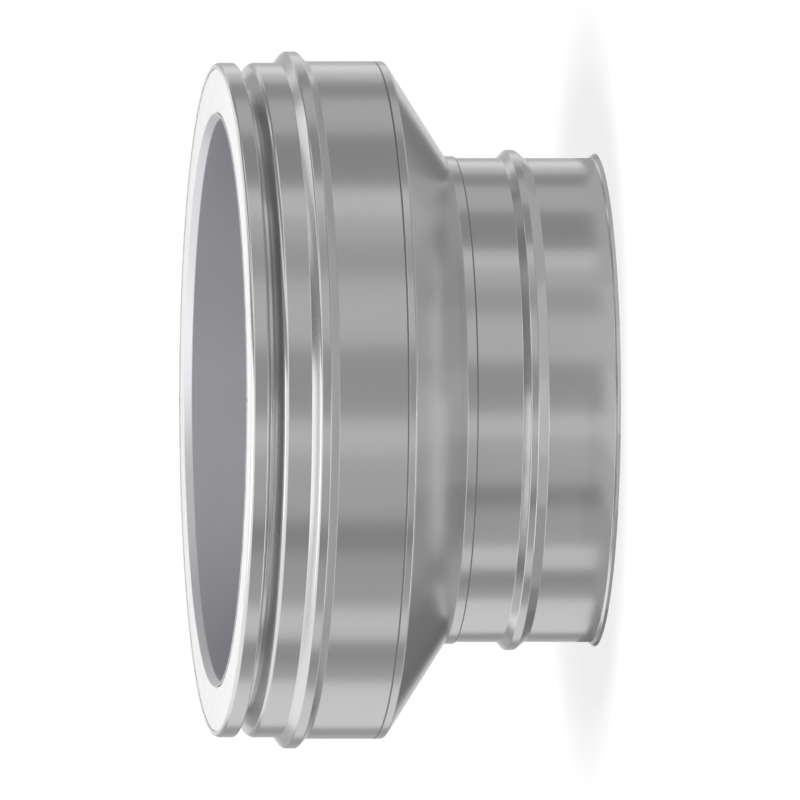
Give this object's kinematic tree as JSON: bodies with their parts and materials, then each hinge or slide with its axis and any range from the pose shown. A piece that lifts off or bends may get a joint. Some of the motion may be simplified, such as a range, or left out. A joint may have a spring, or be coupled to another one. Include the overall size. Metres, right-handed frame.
{
  "type": "flue extension pipe",
  "caption": "Insulated twin-wall flue piece with a locking groove and stop bead that steps down through a cone to a beaded single-wall pipe.",
  "frame": {"origin": "centre of the flared rim of the single-wall pipe, in the plane that the part stands on", "axes": "+Z along the flue axis, from the single-wall end to the insulated end; X and Y across it"},
  "size_m": [0.36, 0.36, 0.197],
  "materials": {
    "casing_steel": "satin stainless sheet",
    "cone_steel": "satin stainless sheet",
    "pipe_steel": "satin stainless sheet",
    "liner_steel": "smooth bright stainless sheet",
    "white_fibre": "white mineral fibre"
  },
  "bodies": {
    "root": {"outer_casing": "casing_steel", "cone_cover": "cone_steel", "outlet_pipe": "pipe_steel", "liner": "liner_steel", "inner_cone": "liner_steel", "insulation_ring": "white_fibre", "insulation_cone": "white_fibre"}
  },
  "joints": []
}
